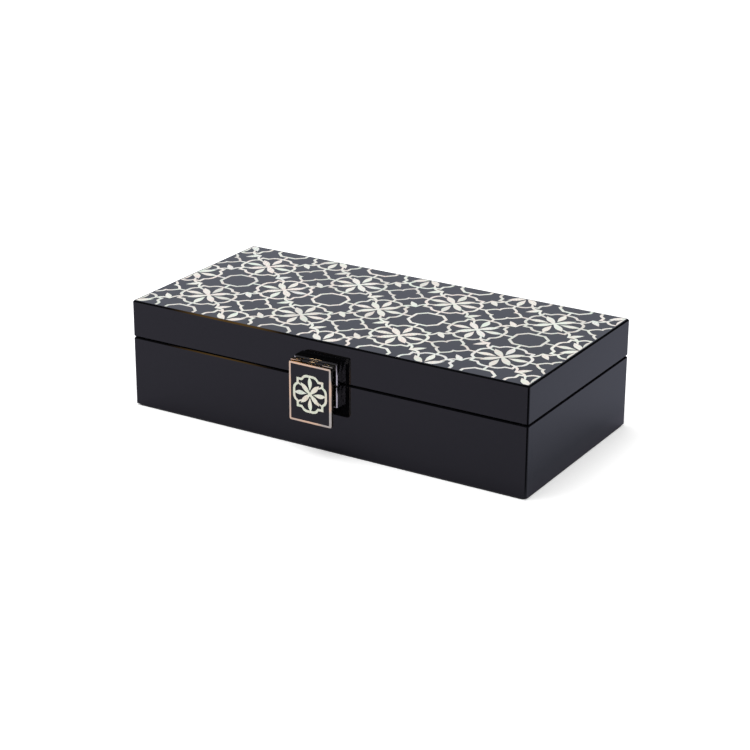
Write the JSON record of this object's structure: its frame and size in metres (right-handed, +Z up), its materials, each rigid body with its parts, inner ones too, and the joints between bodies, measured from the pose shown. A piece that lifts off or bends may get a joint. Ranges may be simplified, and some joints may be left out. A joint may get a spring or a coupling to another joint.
{
  "type": "jewellery box",
  "caption": "Black lacquered jewellery box with a mother-of-pearl lattice let into its hinged lid and a flap clasp.",
  "frame": {"origin": "centre of the underside, on the surface that the box stands on", "axes": "+X along the front, -Y is the front with the clasp, +Z up"},
  "size_m": [0.25, 0.1347, 0.063],
  "materials": {
    "black_lacquer": "black piano lacquer, high gloss",
    "bottom_board": "stained board, satin",
    "felt": "pressed felt",
    "lining_suede": "brushed suede cloth",
    "mother_of_pearl": "polished shell, iridescent",
    "panel_lacquer": "black lacquer, gloss",
    "polished_nickel": "mirror polished",
    "hinge_metal": "polished nickel plate",
    "steel": "nickel plated steel",
    "magnet": "plated magnet"
  },
  "bodies": {
    "base": {"base_front_wall": "black_lacquer", "base_back_wall": "black_lacquer", "base_left_wall": "black_lacquer", "base_right_wall": "black_lacquer", "base_bottom_board": "bottom_board", "base_felt": "felt", "lining_front": "lining_suede", "lining_back": "lining_suede", "lining_left": "lining_suede", "lining_right": "lining_suede", "floor_pad": "lining_suede", "latch_catch_block": "polished_nickel", "latch_magnet": "magnet", "hinge_base_leaves": "hinge_metal", "hinge_pins": "hinge_metal"},
    "lid": {"lid_front_wall": "black_lacquer", "lid_back_wall": "black_lacquer", "lid_left_wall": "black_lacquer", "lid_right_wall": "black_lacquer", "lid_top_board": "black_lacquer", "lid_liner_front": "lining_suede", "lid_liner_back": "lining_suede", "lid_liner_left": "lining_suede", "lid_liner_right": "lining_suede", "ceiling_pad": "lining_suede", "latch_hinge_block": "polished_nickel", "hinge_lid_leaves": "hinge_metal", "inlay_rings": "mother_of_pearl", "inlay_petals": "mother_of_pearl", "inlay_crosses": "mother_of_pearl", "inlay_octagons": "mother_of_pearl", "inlay_stars": "mother_of_pearl", "inlay_stems": "mother_of_pearl", "inlay_links": "mother_of_pearl"},
    "latch_flap": {"flap_tray": "polished_nickel", "flap_panel": "panel_lacquer", "flap_hinge_pin": "polished_nickel", "flap_keeper": "steel", "flap_rosette_ring": "mother_of_pearl", "flap_rosette_petals": "mother_of_pearl", "flap_rosette_cross": "mother_of_pearl"}
  },
  "joints": [
    {"name": "lid_hinge", "type": "hinge", "parent": "base", "child": "lid", "pos_m": [0, 0.0625, 0.0413], "axis": [-1, 0, 0], "range_deg": [0, 95]},
    {"name": "flap_hinge", "type": "hinge", "parent": "lid", "child": "latch_flap", "pos_m": [0, -0.06625, 0.0519], "axis": [-1, 0, 0], "range_deg": [0, 95]}
  ]
}
